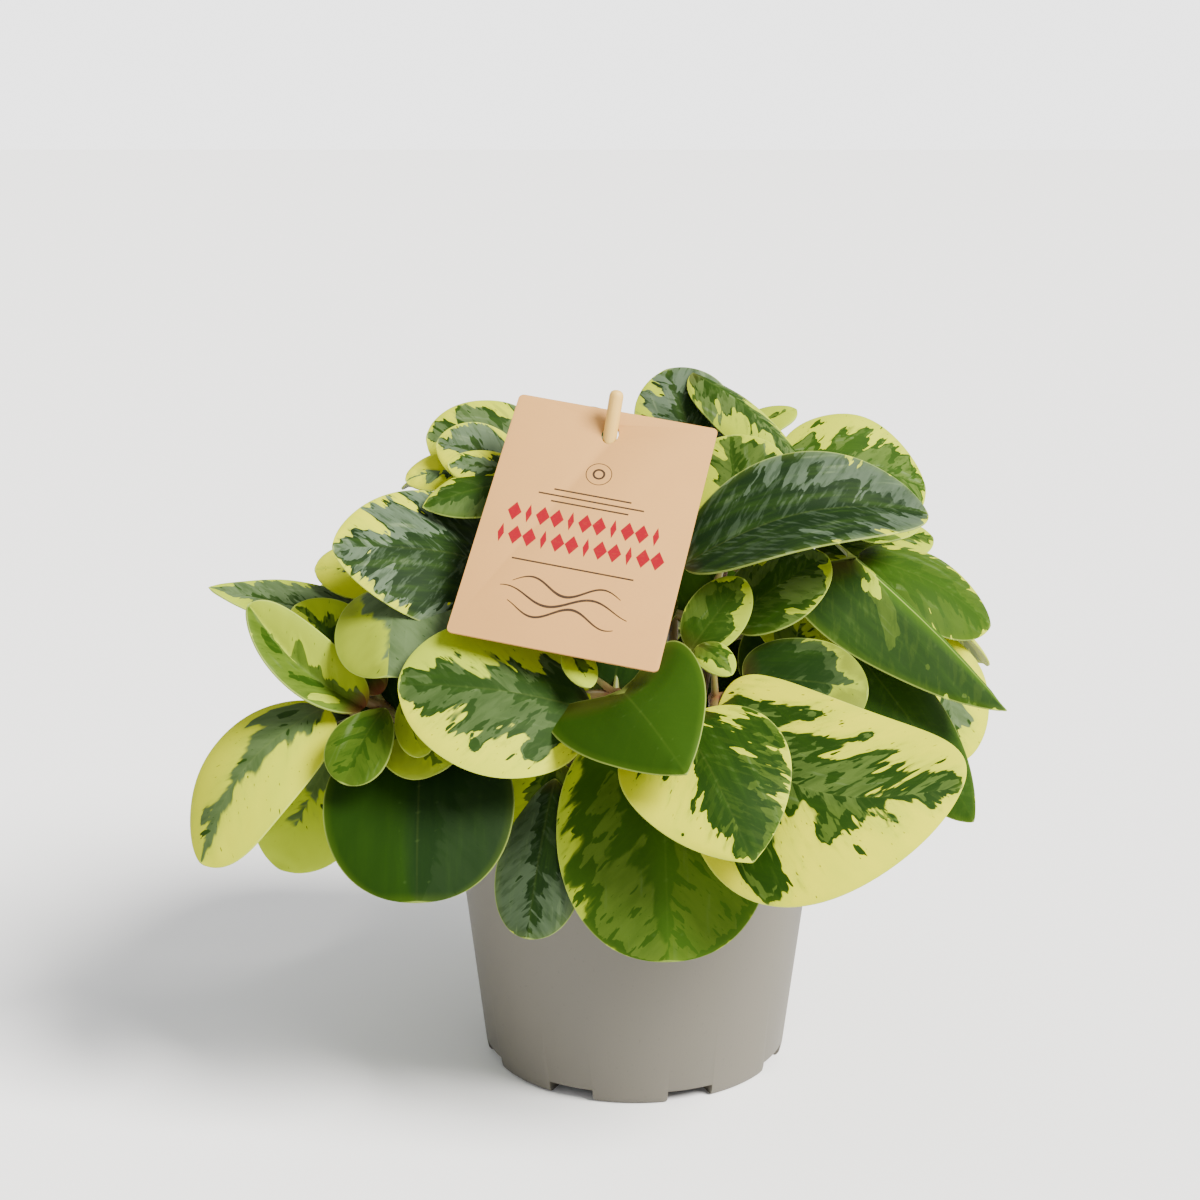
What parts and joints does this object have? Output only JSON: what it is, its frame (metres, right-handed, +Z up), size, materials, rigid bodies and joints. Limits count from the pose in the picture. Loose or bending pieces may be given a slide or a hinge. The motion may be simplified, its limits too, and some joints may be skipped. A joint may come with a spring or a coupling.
{
  "type": "potted variegated peperomia",
  "caption": "Bushy potted houseplant with thick rounded green and gold leaves on branching stems, in a tapered nursery pot of soil with a paper card on a wooden stick.",
  "frame": {"origin": "centre of the pot's flat base, on the surface it stands on", "axes": "+Z up out of the pot, +X to the right and -Y towards the viewer of the front of the plant"},
  "size_m": [0.232, 0.2034, 0.2063],
  "materials": {
    "pot": "matte taupe-grey recycled plastic",
    "soil": "loose dark peat",
    "foliage": "waxy green leaves with cream-yellow margins",
    "stick": "plain pale wood",
    "card": "uncoated kraft card"
  },
  "bodies": {
    "root": {"pot": "pot", "soil": "soil", "stem_left": "foliage", "stem_left_rear": "foliage", "stem_top_left": "foliage", "stem_front": "foliage", "stem_front_right": "foliage", "stem_right": "foliage", "stem_top_right": "foliage", "stem_top_rear": "foliage", "stem_rear_left": "foliage", "stem_rear_right": "foliage", "stick": "stick", "card": "card"}
  },
  "joints": []
}
